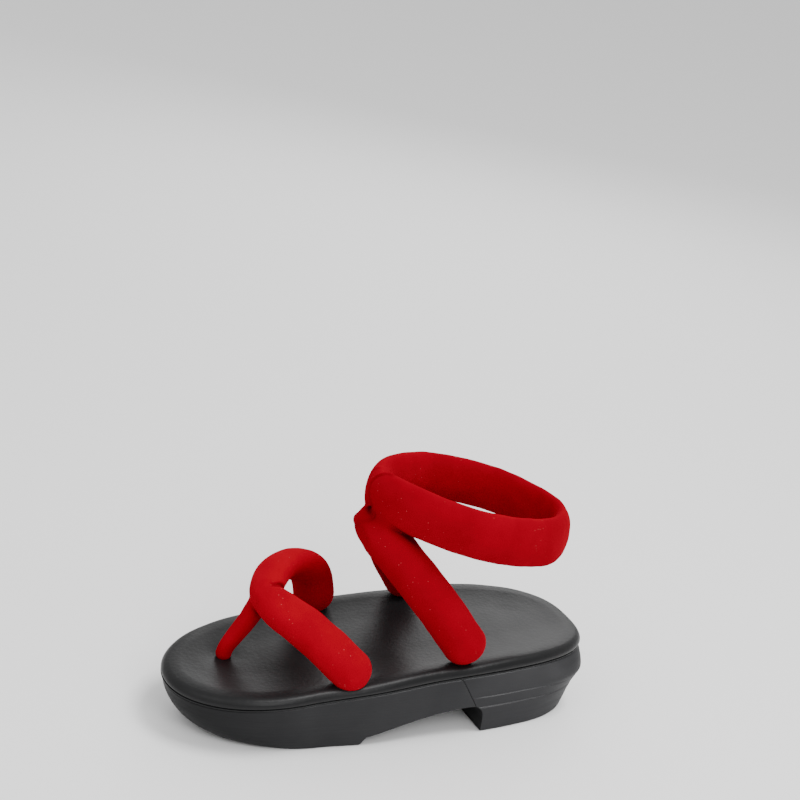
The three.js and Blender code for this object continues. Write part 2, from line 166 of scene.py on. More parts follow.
# Fold at the inner corner of the toe strap's bend, and the faint one beside the post
TOE_FOLD = [(-2.0, -65.5, 79.5), (-0.9, -68.3, 82.6), (0.8, -71.8, 84.0), (0.6, -74.4, 84.6),
            (-0.2, -76.6, 85.9)]
POST_FOLD = [(1.4, -85.2, 78.5), (2.2, -83.8, 75.6), (3.2, -83.7, 73.5), (4.2, -84.5, 70)]

# Places where the ankle strap's parts melt into each other: x, y, z, radius and, in the first two,
# how much wider they blend
RING_JOINS = [(13, -24, 128, 7, 3.0)]
BAND_JOINS = [(-8, -14, 142, 12, 0.8)]
KNOT_MELTS = [(13.5, -24, 128, 8)]
# The knot's folds, the lip and waist at its outer end, and the hems of the ring's two ends
KNOT_VALLEY = [(1.5, -23.2, 130.8), (4.6, -24.8, 131.2), (7.6, -25.3, 130.9), (10.2, -25.3, 129.7)]
KNOT_FOLD = [(10.6, -24.5, 128.8), (9.9, -26.4, 127.3), (8.5, -28.1, 125.8), (6.6, -29.5, 124.5)]
KNOT_LIP = [(-2.6, -28.0, 122.2), (-0.9, -29.1, 122.0), (1.2, -29.9, 121.6)]
KNOT_WAIST = [(4.4, -30.8, 119.8), (6.2, -30.9, 118.6), (9, -30.7, 117.2), (11.2, -30.1, 115.2)]
NEAR_HEM = [(6.2, -26.2, 134.5), (4.3, -26.6, 137.8), (2.7, -26.6, 140.6), (1.4, -26.1, 143.1),
            (0.9, -25.2, 146), (1.8, -24.3, 148.7), (3.2, -23.2, 151), (4.9, -21.8, 152.8),
            (7, -20, 154), (10, -18.2, 154.8)]
FAR_HEM = [(-20.8, -12.4, 139), (-20.2, -13, 140.8), (-19, -11.9, 143.4), (-17.4, -10.2, 144.6)]
HEM_RADIUS = 0.9

# How far past the skin the straps' field is worked out, and its value further out
SKIN_REACH, OUTSIDE = 4, 9.0
# Distances from the skin at which its openness is measured, to paint shade into the folds
OPEN_DISTANCES = (2, 4, 6)


def lerp(a, b, t):
    return a + (b - a) * t


def smoothstep(x, low, high):
    t = np.clip((x - low) / (high - low), 0, 1)
    return t * t * (3 - 2 * t)


def table(x, xs, ys):
    """Smooth monotone curve through a table, piecewise cubic."""
    x, xs, ys = np.asarray(x, float), np.asarray(xs, float), np.asarray(ys, float)
    step = np.diff(xs)
    slope = np.diff(ys) / step
    tangent = np.zeros_like(ys)
    tangent[0], tangent[-1] = slope[0], slope[-1]
    same = slope[:-1] * slope[1:] > 0
    both = np.where(same, slope[:-1] + slope[1:], 1)
    tangent[1:-1] = np.where(same, 2 * slope[:-1] * slope[1:] / both, 0)
    i = np.clip(np.searchsorted(xs, x, side="right") - 1, 0, len(step) - 1)
    t = (x - xs[i]) / step[i]
    h, m0, m1 = step[i], tangent[i], tangent[i + 1]
    return ((1 + 2 * t) * (1 - t) ** 2 * ys[i] + t * (1 - t) ** 2 * h * m0
            + t * t * (3 - 2 * t) * ys[i + 1] + t * t * (t - 1) * h * m1)


def outline_half(share):
    """Half width of the footbed's outline at a share of the length from the toe."""
    s = np.clip(np.asarray(share, float), 0, 1) * SOLE_LENGTH
    toe = 1 - np.clip(s / TOE_ROUND, 0, 1)
    heel = 1 - np.clip((SOLE_LENGTH - s) / HEEL_ROUND, 0, 1)
    u = np.clip((s - TOE_ROUND) / (SOLE_LENGTH - TOE_ROUND - HEEL_ROUND), 0, 1)
    middle = lerp(BALL_WIDTH, HEEL_WIDTH, u * u * (3 - 2 * u)) / 2
    middle = middle + SIDE_BULGE * 16 * (u * (1 - u)) ** 2
    front = BALL_WIDTH / 2 * (1 - toe ** TOE_POWER) ** (1 / TOE_POWER)
    back = HEEL_WIDTH / 2 * (1 - heel ** HEEL_POWER) ** (1 / HEEL_POWER)
    return np.where(s < TOE_ROUND, front, np.where(SOLE_LENGTH - s < HEEL_ROUND, back, middle))


def edge_height(share):
    """Height of the platform's upper edge, a cubic through four heights."""
    total = 0
    for i, height in enumerate(EDGE_HEIGHTS):
        weight = height
        for j in range(4):
            if j != i:
                weight = weight * (np.asarray(share) * 3 - j) / (i - j)
        total = total + weight
    return total


def pad_top(y):
    return edge_height(np.clip(y / SOLE_LENGTH + 0.5, 0, 1)) + CLEARANCE + PAD_THICKNESS


def new_mesh(name, points, faces, openness=None):
    """Smooth object from points in millimetres; openness, if given, is kept with each point."""
    mesh = bpy.data.meshes.new(name)
    mesh.from_pydata([tuple(p) for p in np.asarray(points) * MM], [], [list(f) for f in faces])
    work = bmesh.new()
    work.from_mesh(mesh)
    if openness is not None:
        layer = work.verts.layers.float.new("open")
        for vert, value in zip(work.verts, openness):
            vert[layer] = value
    bmesh.ops.remove_doubles(work, verts=work.verts, dist=MERGE)
    bmesh.ops.dissolve_degenerate(work, edges=work.edges, dist=SLIVER)
    bmesh.ops.recalc_face_normals(work, faces=work.faces)
    work.to_mesh(mesh)
    work.free()
    mesh.shade_smooth()
    piece = bpy.data.objects.new(name, mesh)
    bpy.context.scene.collection.objects.link(piece)
    return piece


def grid_faces(rows, columns):
    """Quads of a grid of points, row by row, with each row closed."""
    faces = []
    for low in range(0, (rows - 1) * columns, columns):
        high = low + columns
        for c in range(columns):
            d = (c + 1) % columns
            faces.append((low + c, low + d, high + d, high + c))
    return faces


def square_half(share):
    """Half width of the squarer outline that the platform swells towards behind the heel."""
    rest = np.clip(1 - SOLE_LENGTH * (1 - np.asarray(share, float)) / HEEL_ROUND, 0, 1)
    return HEEL_WIDTH / 2 * (1 - rest ** SQUARE_POWER) ** (1 / SQUARE_POWER)


def side_level(rise, column):
    return table(rise, SIDE_LEVELS[:, RISE], SIDE_LEVELS[:, column])


def platform_surface(share, rise):
    """Point of the platform's side at a share of the length and of the height."""
    y_top = (share - 0.5) * SOLE_LENGTH
    station = share * SOLE_LENGTH
    rib = sum(part * (1 - smoothstep(rise, low, high)) for part, low, high in RIBS)
    start = smoothstep(station, RIB_START, RIB_FULL)
    out = rib * RIB_STEP * start * (1 - RIB_LOSS * smoothstep(station, RIB_END, RIB_GONE))
    rear = smoothstep(station, SQUARE_START, SQUARE_START + SQUARE_FADE)
    half = outline_half(share)
    half = half + np.where(half > 0, square_half(share) - half, 0) * rear * side_level(rise, SWELL)
    draft = PAD_OVERHANG + side_level(rise, DRAFT) * lerp(FRONT_DRAFT, REAR_DRAFT, share) - out
    tuck, chamfer = side_level(rise, TUCK) * TOE_TUCK, side_level(rise, CHAMFER) * HEEL_CHAMFER
    ends = PAD_OVERHANG + np.where(y_top < 0, tuck, chamfer) - out
    return np.stack([half * (1 - draft / WIDEST), y_top * (1 - 2 * ends / SOLE_LENGTH),
                     rise * edge_height(share)], -1)


def quad_curve(a, b, c, count=5):
    """Points of the curve from a to c that is drawn towards b."""
    t = np.linspace(0, 1, count)[:, None]
    return (1 - t) ** 2 * np.array(a) + 2 * t * (1 - t) * np.array(b) + t * t * np.array(c)


def arch_profile():
    """Side view of the underside between the two flat treads, from front to back."""
    front = TREAD_LENGTH - HALF_LENGTH
    step = front + STEP_LENGTH
    roof_end = step + ROOF_LENGTH
    face = roof_end + FILLET_LENGTH
    soft = STEP_SOFT
    parts = [
        quad_curve((front - soft, 0), (front, 0), (front + soft * 0.4, soft * 0.9)),
        quad_curve((step - soft * 0.4, STEP_HEIGHT - soft * 0.9), (step, STEP_HEIGHT),
                   (step + soft, STEP_HEIGHT + 0.45)),
        quad_curve((step + soft, STEP_HEIGHT + 0.45), (lerp(step, roof_end, 0.7), ROOF_HEIGHT),
                   (roof_end, ROOF_HEIGHT), 60)[1:],
        quad_curve((roof_end, ROOF_HEIGHT), (face - FACE_LEAN, ROOF_HEIGHT),
                   (face - FACE_LEAN, ROOF_HEIGHT - FILLET_HEIGHT), 22)[1:],
        quad_curve((face - 0.15, 1.0), (face, 0), (face + 1.0, 0), 6),
    ]
    return np.concatenate(parts)


def share_at(y, z):
    """Share of the length at which the platform's side passes through y at height z."""
    share = y / SOLE_LENGTH + 0.5
    for _ in range(4):
        rise = z / edge_height(share)
        inset = side_level(rise, TUCK) * TOE_TUCK if y < 0 else side_level(rise, CHAMFER) * HEEL_CHAMFER
        reach = PAD_OVERHANG + inset
        share = y / (1 - 2 * reach / SOLE_LENGTH) / SOLE_LENGTH + 0.5
    return float(share)


def platform_columns():
    """Each column's shares at the bottom and top, bottom height, and distance from the parting line."""
    profile = arch_profile()
    front, back = profile[0, 0], profile[-1, 0]
    far = SEAM_STEPS[-1]
    toe_end, heel_start = share_at(front, 0), share_at(back, 0)
    toe, heel = (np.linspace(0, math.pi / 2, count) for count in (84, 96))
    columns = [(s, 0.0, s, FAR_FROM_SEAM) for s in toe_end * (1 - np.cos(toe))]
    for y, z in profile[1:-1]:
        if y < SEAM_LOW - far - 0.5:
            high = lerp(front, SEAM_HIGH - far, (y - front) / (SEAM_LOW - far - front))
            columns.append((share_at(y, z), z, high / SOLE_LENGTH + 0.5, FAR_FROM_SEAM))
    for step in SEAM_STEPS:
        y = SEAM_LOW + step
        z = float(np.interp(y, profile[:, 0], profile[:, 1]))
        columns.append((share_at(y, z), z, (SEAM_HIGH + step) / SOLE_LENGTH + 0.5, step))
    rear = profile[profile[:, 0] > SEAM_LOW + far + 0.3]
    run = np.concatenate([[0], np.cumsum(np.linalg.norm(np.diff(rear, axis=0), axis=1))])
    for (y, z), t in list(zip(rear, (run + 1) / (run[-1] + 1)))[:-1]:
        high = lerp(SEAM_HIGH + far, back, t)
        columns.append((share_at(y, z), z, high / SOLE_LENGTH + 0.5, FAR_FROM_SEAM))
    columns += [(s, 0.0, s, FAR_FROM_SEAM) for s in heel_start + (1 - heel_start) * np.sin(heel)]
    return columns


def row_rises():
    """Heights of the rows as shares, closer together at the rib steps."""
    fine = [np.linspace(at - 0.02, at + 0.02, 9) for at in [(low + high) / 2 for _, low, high in RIBS]]
    return np.unique(np.concatenate([np.linspace(0, 1, 46), *fine]).round(5))


def side_column(low, z_low, high, from_seam, rises):
    """One column of the side from the bottom edge to the upper edge, both rounded."""
    start = z_low / float(edge_height(low))
    squeezed = 0.03
    margin = start + squeezed
    rise = np.where(rises < margin, start + squeezed * rises / margin, rises)
    share = lerp(low, high, (rise - start) / (1 - start))
    side = platform_surface(share, rise)
    side[:, 0] -= np.minimum(SEAM_DEPTH, side[:, 0]) * math.exp(-(from_seam / SEAM_WIDTH) ** 2)
    inward = np.array((-1.0, 0, 0))
    room, lip = min(EDGE_FILLET, 0.45 * side[0, 0]), min(LIP_ROUND, 0.45 * side[-1, 0])
    up, down = side[6] - side[0], side[-4] - side[-1]
    up, down = up / (np.linalg.norm(up) + 1e-9), down / (np.linalg.norm(down) + 1e-9)
    foot = quad_curve(side[0] + inward * room, side[0], side[0] + up * room)
    head = quad_curve(side[-1] + down * lip, side[-1], side[-1] + inward * lip)
    count = len(rises) - 6
    run = np.linspace(0, 1, len(rises))
    inside = (side[:, 2] > foot[-1, 2] + 0.1) & (side[:, 2] < head[0, 2] - 0.1)
    kept, at = side[inside], run[inside]
    even = np.linspace(at[0], at[-1], count)
    body = np.stack([np.interp(even, at, kept[:, k]) for k in range(3)], -1)
    return np.concatenate([foot, body, head])


def make_platform():
    rises = row_rises()
    loops = []
    for column in platform_columns():
        half = side_column(*column, rises)
        mirror = half[::-1] * (-1, 1, 1)
        under = [lerp(mirror[-1], half[0], t) for t in np.linspace(0, 1, 12)[1:-1]]
        over = [lerp(half[-1], mirror[0], t) for t in np.linspace(0, 1, 6)[1:-1]]
        loops.append(np.concatenate([half, over, mirror, under]))
    count = len(loops[0])
    return new_mesh("platform_moulding", np.concatenate(loops), grid_faces(len(loops), count))


def pad_shape(share, t):
    """Footbed surface; t runs over the rows of PAD_LEVELS, from the underside to the middle line."""
    k = np.arange(len(PAD_LEVELS))
    rise, inset = table(t, k, PAD_LEVELS[:, 0]), table(t, k, PAD_LEVELS[:, 1]) * BALL_WIDTH
    x = outline_half(share) * (1 - inset / WIDEST)
    y = (share - 0.5) * SOLE_LENGTH * (1 - 2 * inset / SOLE_LENGTH)
    inside = smoothstep(t, ROLL_ROW, DISH_ROW)
    ground = lerp(edge_height(share), edge_height(y / SOLE_LENGTH + 0.5), inside)
    return x, y, ground + CLEARANCE + rise * PAD_THICKNESS


def make_footbed():
    around, levels = 150, 118
    share = (1 - np.cos(np.linspace(0, math.pi, around))) / 2
    rings = []
    for t in np.linspace(0, len(PAD_LEVELS) - 1, levels):
        x, y, z = pad_shape(share, t)
        x = x.copy()
        x[[0, -1]] = 0
        right = np.stack([x, y, z], -1)
        rings.append(np.concatenate([right, right[-2:0:-1] * (-1, 1, 1)]))
    count = len(rings[0])
    faces = grid_faces(len(rings), count)
    for i in range(around - 1):
        faces.append((i, i + 1, (count - i - 1) % count, (count - i) % count))
    points = np.concatenate(rings)
    soften_pad(points)
    return new_mesh("footbed_pad", points, faces)


def soften_pad(points):
    """Presses the pad in under the strap ends and round the post, and lets its rim wander a little."""
    above = smoothstep(points[:, 2] - edge_height(points[:, 1] / SOLE_LENGTH + 0.5), 2, 6)
    for x, y, radius, depth in PRESSED_SPOTS:
        reach = np.hypot(points[:, 0] - x, points[:, 1] - y) / radius
        points[:, 2] -= above * depth * np.exp(-reach ** 2)
    wander = np.sin(points[:, 1] * 0.11 + 1.3) + 0.6 * np.sin(points[:, 1] * 0.27 + points[:, 0] * 0.05)
    points[:, 2] += above * 0.1 * wander


def smooth_path(points, spacing=1.4, fine=40):
    """Evenly spaced points of a centripetal Catmull-Rom curve, and the run to each control point."""
    p = np.array(points, float)
    p = np.concatenate([[2 * p[0] - p[1]], p, [2 * p[-1] - p[-2]]])
    knots = np.concatenate([[0], np.cumsum(np.linalg.norm(np.diff(p, axis=0), axis=1) ** 0.5)])
    out, marks = [], []
    for i in range(1, len(p) - 2):
        t0, t1, t2, t3 = knots[i - 1:i + 3]
        t = np.linspace(t1, t2, fine, endpoint=i == len(p) - 3)[:, None]
        a1 = (t1 - t) / (t1 - t0) * p[i - 1] + (t - t0) / (t1 - t0) * p[i]
        a2 = (t2 - t) / (t2 - t1) * p[i] + (t - t1) / (t2 - t1) * p[i + 1]
        a3 = (t3 - t) / (t3 - t2) * p[i + 1] + (t - t2) / (t3 - t2) * p[i + 2]
        b1 = (t2 - t) / (t2 - t0) * a1 + (t - t0) / (t2 - t0) * a2
        b2 = (t3 - t) / (t3 - t1) * a2 + (t - t1) / (t3 - t1) * a3
        out.append((t2 - t) / (t2 - t1) * b1 + (t - t1) / (t2 - t1) * b2)
        marks.append(fine * (i - 1))
    curve = np.concatenate(out)
    run = np.concatenate([[0], np.cumsum(np.linalg.norm(np.diff(curve, axis=0), axis=1))])
    at = np.linspace(0, run[-1], max(2, int(run[-1] / spacing)))
    centre = np.stack([np.interp(at, run, curve[:, k]) for k in range(3)], -1)
    return centre, at, run[[*marks, len(curve) - 1]]


class Skin:
    """Distance from a strap's skin on a grid of points, in millimetres, negative inside."""

    def __init__(self, low, high, step):
        self.low, self.step = np.array(low, float), step
        self.axes = [np.arange(a, b, step, dtype=np.float32) for a, b in zip(low, high)]

    def near(self, place, reach):
        """Part of the grid within reach of a place, and its points' offsets from the place."""
        box = tuple(slice(*np.searchsorted(axis, (at - reach, at + reach)))
                    for axis, at in zip(self.axes, place))
        offset = [a[b] - np.float32(at) for a, b, at in zip(self.axes, box, place)]
        return box, np.meshgrid(*offset, indexing="ij", copy=False)

    def tube(self, points, hub, wide, thin):
        """Plush tube with round ends; its thin side faces away from the hub."""
        centre, at, marks = smooth_path(points)
        tangent = np.gradient(centre, axis=0)
        tangent /= np.linalg.norm(tangent, axis=1)[:, None]
        out = centre - np.array([hub(c) for c in centre])
        out -= (out * tangent).sum(1)[:, None] * tangent
        out /= np.linalg.norm(out, axis=1)[:, None]
        across = np.cross(tangent, out)
        wides, thins = (np.interp(at, marks, np.broadcast_to(v, len(marks))) / 2 for v in (wide, thin))
        field = np.full([len(a) for a in self.axes], OUTSIDE, np.float32)
        for i in np.flatnonzero((at >= wides[0]) & (at <= at[-1] - wides[-1])):
            box, (x, y, z) = self.near(centre[i], wides[i] + SKIN_REACH)
            first, second = np.float32(0), np.float32(0)
            for axis, radius in ((tangent[i], wides[i]), (out[i], thins[i]), (across[i], wides[i])):
                share = ((x * np.float32(axis[0]) + y * np.float32(axis[1]) + z * np.float32(axis[2]))
                         / np.float32(radius)) ** 2
                first, second = first + share, second + share / np.float32(radius * radius)
            first = np.sqrt(first)
            egg = first * (first - 1) / (np.sqrt(second) + np.float32(1e-6))
            field[box] = np.minimum(field[box], egg)
        return field

    def widths(self, base, spots):
        """Blend widths: a base everywhere, and more near spots of x, y, z, radius and width."""
        total = np.full([len(a) for a in self.axes], base, np.float32)
        for x, y, z, radius, width in spots:
            box, offset = self.near((x, y, z), 2.4 * radius)
            total[box] += width * np.exp(-sum(o * o for o in offset) / np.float32(radius * radius))
        return total

    def along(self, points, reach):
        """Distance from a curve through points, within reach of it."""
        far = np.full([len(a) for a in self.axes], reach, np.float32)
        for place in smooth_path(points, 0.5)[0]:
            box, offset = self.near(place, reach)
            far[box] = np.minimum(far[box], np.sqrt(sum(o * o for o in offset)))
        return far

    def soften(self, field, spots, spread=3.5):
        """Melts the skin smooth near spots of x, y, z and radius."""
        for x, y, z, radius in spots:
            box, offset = self.near((x, y, z), 2 * radius)
            share = np.exp(-(sum(o * o for o in offset) / np.float32(radius * radius)) ** 2)
            blurred = field[box]
            for _ in range(int(2 * (spread / self.step) ** 2)):
                for axis in range(3):
                    first, last = blurred.take([0], axis), blurred.take([-1], axis)
                    padded = np.concatenate([first, blurred, last], axis)
                    count = blurred.shape[axis]
                    blurred = sum(padded.take(range(k, k + count), axis) * weight
                                  for k, weight in enumerate((0.25, 0.5, 0.25)))
            field[box] += share * (blurred - field[box])
        return field

    def groove(self, field, points, width, depth):
        """Presses a soft groove along a curve."""
        far = self.along(points, 3 * width)
        return field + depth * np.exp(-(far / np.float32(width)) ** 2)

    def bead(self, field, points, radius, width):
        """Lays a thin round hem along a curve."""
        return blend(field, self.along(points, radius + SKIN_REACH) - np.float32(radius), width)

    def sample(self, field, points):
        """Value of the field at points, linear between the grid's points."""
        place = (points - self.low) / self.step
        cell = np.clip(np.floor(place).astype(int), 0, np.array(field.shape) - 2)
        part = place - cell
        total = 0
        for corner in np.ndindex(2, 2, 2):
            weight = np.prod(np.where(corner, part, 1 - part), axis=1)
            total = total + weight * field[tuple((cell + corner).T)]
        return total

    def mesh(self, name, field):
        """Skin of the field: a point in each cell that it crosses, joined in quads and eased."""
        inside = field < 0
        size = np.array(field.shape) - 1
        corners = list(np.ndindex(2, 2, 2))
        pick = {c: tuple(slice(o, o + n) for o, n in zip(c, size)) for c in corners}
        count = sum(inside[pick[c]].astype(np.int8) for c in corners)
        cells = np.argwhere((count > 0) & (count < 8))
        number = np.full(size, -1)
        number[tuple(cells.T)] = np.arange(len(cells))
        total, hits = np.zeros((len(cells), 3)), np.zeros((len(cells), 1))
        for corner in corners:
            for axis in range(3):
                if corner[axis]:
                    continue
                a = field[tuple((cells + corner).T)]
                b = field[tuple((cells + corner + np.eye(3, dtype=int)[axis]).T)]
                cross = (a < 0) != (b < 0)
                part = np.where(cross, a / np.where(cross, a - b, 1), 0)
                total += cross[:, None] * (np.array(corner) + part[:, None] * np.eye(3)[axis])
                hits += cross[:, None]
        points = self.low + (cells + total / hits) * self.step
        quads = []
        for axis in range(3):
            side = [np.eye(3, dtype=int)[(axis + k) % 3] for k in (1, 2)]
            change = np.diff(inside.astype(np.int8), axis=axis)
            edge = np.argwhere(change != 0)
            round_edge = (side[0] * 0, side[0], side[0] + side[1], side[1])
            quad = np.stack([number[tuple((edge - step).T)] for step in round_edge], -1)
            flip = change[tuple(edge.T)] > 0
            quad[flip] = quad[flip][:, ::-1]
            quads.append(quad)
        quads = np.concatenate(quads)
        for _ in range(3):
            points = self.settle(field, ease(points, quads))
        out = self.slope(field, points, self.step)
        out /= np.linalg.norm(out, axis=1)[:, None] + 1e-9
        # Openness of the skin, kept with each point as the mask for the plush's painted shade in folds
        openness = sum(np.clip(self.sample(field, points + far * out) / far, 0, 1)
                       for far in OPEN_DISTANCES) / len(OPEN_DISTANCES)
        return new_mesh(name, points + lumps(points)[:, None] * out, quads, openness)

    def slope(self, field, points, reach):
        """How much the field rises over twice a reach along each axis."""
        return np.stack([self.sample(field, points + e) - self.sample(field, points - e)
                         for e in np.eye(3) * reach], -1)

    def settle(self, field, points):
        """Moves points onto the skin."""
        rise = self.slope(field, points, self.step / 2) / self.step
        move = (self.sample(field, points) / ((rise ** 2).sum(1) + 1e-3))[:, None] * rise
        return points - np.clip(move, -0.6, 0.6)


def blend(a, b, width):
    """Joins two distances, filleted over a width."""
    near = np.clip(1 - np.abs(a - b) / width, 0, 1)
    return np.minimum(a, b) - near * near * width / 4


def ease(points, quads):
    """Points moved halfway to the mean of their neighbours."""
    a, b = quads.ravel(), np.roll(quads, 1, axis=1).ravel()
    here, there = np.concatenate([a, b]), np.concatenate([b, a])
    count = np.bincount(here, minlength=len(points))
    mean = [np.bincount(here, points[there, k], len(points)) / count for k in range(3)]
    return (points + np.stack(mean, -1)) / 2


def lumps(points):
    """Small uneven swells of a stuffed tube."""
    return np.array([0.42 * noise.noise(p / 17) + 0.2 * noise.noise(p / 7 + Vector((9, 0, 0)))
                     for p in map(Vector, points)])


def strap_run(skin, rows, strap, hub):
    """Tube along rows of shares of a strap's sizes."""
    foot = strap["foot"] - HALF_LENGTH
    base = float(pad_top(foot))
    side, reach, rise, wide, thin = np.array(rows, float).T
    path = np.stack([side * strap["span"], foot - reach * strap["reach"],
                     base + rise * strap["height"]], -1)
    return skin.tube(path, lambda c: hub, strap["width"] * wide, strap["thick"] * thin)


def make_toe_strap():
    foot = TOE_STRAP["foot"] - HALF_LENGTH
    skin = Skin((-54, -102, 12), (54, -8, 96), 0.62)
    field = strap_run(skin, TOE_ROWS, TOE_STRAP, (0, foot, float(pad_top(foot))))
    low_end = np.array((POST["side"], POST["station"] - HALF_LENGTH))
    top_end = np.array((POST["top_side"], POST["top_y"]))
    low = float(pad_top(low_end[1])) - 2
    shaft = [(*lerp(low_end, top_end, across), lerp(low, POST["top_z"], up))
             for up, across, _ in POST_ROWS]
    width = 2 * np.array([row[2] for row in POST_ROWS])
    post = skin.tube(shaft, lambda c: (0, low_end[1] + 60, c[2]), width, width)
    field = skin.groove(blend(field, post, np.float32(1.6)), TOE_FOLD, 1.4, 1.5)
    field = skin.groove(field, POST_FOLD, 1.2, 0.6)
    return skin.mesh("toe_strap_plush", field)


def ring_path():
    """Middle line of the ankle ring, an oval round the leg that slopes down to the heel."""
    base = float(pad_top(ANKLE_STRAP["foot"] - HALF_LENGTH)) + ANKLE_STRAP["height"] + RING["rise"]
    thick = ANKLE_STRAP["thick"]
    points = []
    for turn, out, down, slim in RING_ROWS:
        away = (out + (1 - slim) / 2) * thick
        angle = 2 * math.pi * turn
        along = (RING["half_length"] + away) * math.cos(angle)
        points.append(((RING["half_width"] + away) * math.sin(angle),
                       RING["station"] - HALF_LENGTH - along,
                       base + RING["slope"] * along - down * thick))
    return points


def make_ankle_strap():
    y = RING["station"] - HALF_LENGTH
    low = float(pad_top(0)) + ANKLE_STRAP["height"] * 0.15
    skin = Skin((-54, -36, 20), (54, 112, 162), 0.85)
    legs = strap_run(skin, ANKLE_ROWS, ANKLE_STRAP, (0, y, low))
    path, thin = ring_path(), np.array([row[3] for row in RING_ROWS]) * ANKLE_STRAP["thick"]
    middle = len(path) // 2
    near, far = (skin.tube(path[part], lambda c: (0, y, c[2]), RING["width"], thin[part])
                 for part in (slice(0, middle + 2), slice(middle - 2, len(path))))
    ring = blend(near, far, skin.widths(0.05, BAND_JOINS))
    field = skin.soften(blend(legs, ring, skin.widths(0.9, RING_JOINS)), KNOT_MELTS)
    field = skin.groove(field, KNOT_VALLEY, 1.5, 1.4)
    field = skin.groove(field, KNOT_FOLD, 1.0, 0.6)
    field = skin.groove(field, KNOT_WAIST, 3.5, 1.9)
    field = skin.bead(field, KNOT_LIP, 1.3, 3.0)
    field = skin.groove(field, NEAR_HEM, 2.2, 0.7)
    for hem in (NEAR_HEM, FAR_HEM):
        field = skin.bead(field, hem, HEM_RADIUS, 1.0)
    return skin.mesh("ankle_strap_plush", field)


BLACK, WHITE = (0, 0, 0), (1, 1, 1)
CELLS = "ShaderNodeTexVoronoi"


class Nodes:
    """Short way to write a material's nodes."""

    def __init__(self, name):
        self.material = bpy.data.materials.new(name)
        self.material.use_nodes = True
        self.tree = self.material.node_tree
        self.tree.nodes.clear()
        self.shader = self.add("ShaderNodeBsdfPrincipled")
        output = self.add("ShaderNodeOutputMaterial")
        self.link(self.shader.outputs[0], output.inputs[0])
        self.place = self.add("ShaderNodeTexCoord").outputs["Object"]

    def add(self, kind, **values):
        node = self.tree.nodes.new(kind)
        for key, value in values.items():
            setattr(node, key, value)
        return node

    def link(self, source, target):
        self.tree.links.new(source, target)

    def noise(self, scale, detail=3.0, rough=0.55, stretch=None, kind="ShaderNodeTexNoise"):
        node = self.add(kind)
        node.inputs["Scale"].default_value = scale
        if kind == "ShaderNodeTexNoise":
            node.inputs["Detail"].default_value = detail
            node.inputs["Roughness"].default_value = rough
        source = self.place
        if stretch:
            mapping = self.add("ShaderNodeMapping")
            mapping.inputs["Scale"].default_value = stretch
            self.link(source, mapping.inputs["Vector"])
            source = mapping.outputs[0]
        self.link(source, node.inputs["Vector"])
        return node.outputs[0]

    def ramp(self, source, stops):
        node = self.add("ShaderNodeValToRGB")
        while len(node.color_ramp.elements) < len(stops):
            node.color_ramp.elements.new(0.5)
        for element, (at, colour) in zip(node.color_ramp.elements, stops):
            element.position = at
            element.color = (*colour, 1)
        self.link(source, node.inputs[0])
        return node.outputs[0]

    def math(self, kind, a, b):
        node = self.add("ShaderNodeMath", operation=kind)
        for socket, value in zip(node.inputs, (a, b)):
            if isinstance(value, (int, float)):
                socket.default_value = value
            else:
                self.link(value, socket)
        return node.outputs[0]

    def mix(self, factor, a, b):
        node = self.add("ShaderNodeMix", data_type="RGBA")
        for socket, value in ((node.inputs[0], factor), (node.inputs[6], a), (node.inputs[7], b)):
            if isinstance(value, (int, float)):
                socket.default_value = value
            elif isinstance(value, tuple):
                socket.default_value = (*value, 1)
            else:
                self.link(value, socket)
        return node.outputs[2]

    def bump(self, height, distance, strength, below=None):
        node = self.add("ShaderNodeBump")
        node.inputs["Distance"].default_value = distance
        node.inputs["Strength"].default_value = strength
        self.link(height, node.inputs["Height"])
        if below is not None:
            self.link(below, node.inputs["Normal"])
        return node.outputs[0]

    def set(self, **values):
        for key, value in values.items():
            socket = self.shader.inputs[key.replace("_", " ")]
            if isinstance(value, (int, float, tuple)):
                socket.default_value = value
            else:
                self.link(value, socket)


def plush_material():
    """Matt red with a soft nap, sparse lint, and painted shade in the folds where the skin's openness
    is low.
    """
    n = Nodes("red_plush")
    cloud = n.noise(45, 4, 0.6)
    nap = n.noise(1100, 3, 0.7)
    body = n.ramp(cloud, [(0.3, (0.242, 0.0, 0.0066)), (0.5, (0.27, 0.0, 0.0074)),
                          (0.72, (0.298, 0.0, 0.0082))])
    lint = n.ramp(n.noise(420, kind=CELLS), [(0.08, WHITE), (0.14, BLACK)])
    patches = n.ramp(n.noise(70, 3, 0.6), [(0.48, BLACK), (0.56, WHITE)])
    rare = n.ramp(n.noise(260, 1, 0.5), [(0.48, BLACK), (0.5, WHITE)])
    specks = n.math("MULTIPLY", n.math("MULTIPLY", lint, patches), rare)
    colour = n.mix(n.math("MULTIPLY", specks, 0.5), body, (0.55, 0.1, 0.1))
    # Painted shade: near-black red is mixed into the colour where the skin is closed in, in folds and
    # creases
    open_for_painted_shade = n.add("ShaderNodeAttribute", attribute_name="open").outputs["Fac"]
    colour = n.mix(n.ramp(open_for_painted_shade, [(0.25, BLACK), (0.92, WHITE)]), (0.035, 0.0, 0.002), colour)
    fine = n.bump(nap, 0.0003, 0.6)
    soft = n.bump(cloud, 0.0012, 0.25, fine)
    n.set(Base_Color=colour, Roughness=1.0, Sheen_Weight=0.2, Sheen_Roughness=0.5,
          Sheen_Tint=(1.0, 0.03, 0.06, 1), Specular_IOR_Level=0.0, Normal=soft)
    return n.material


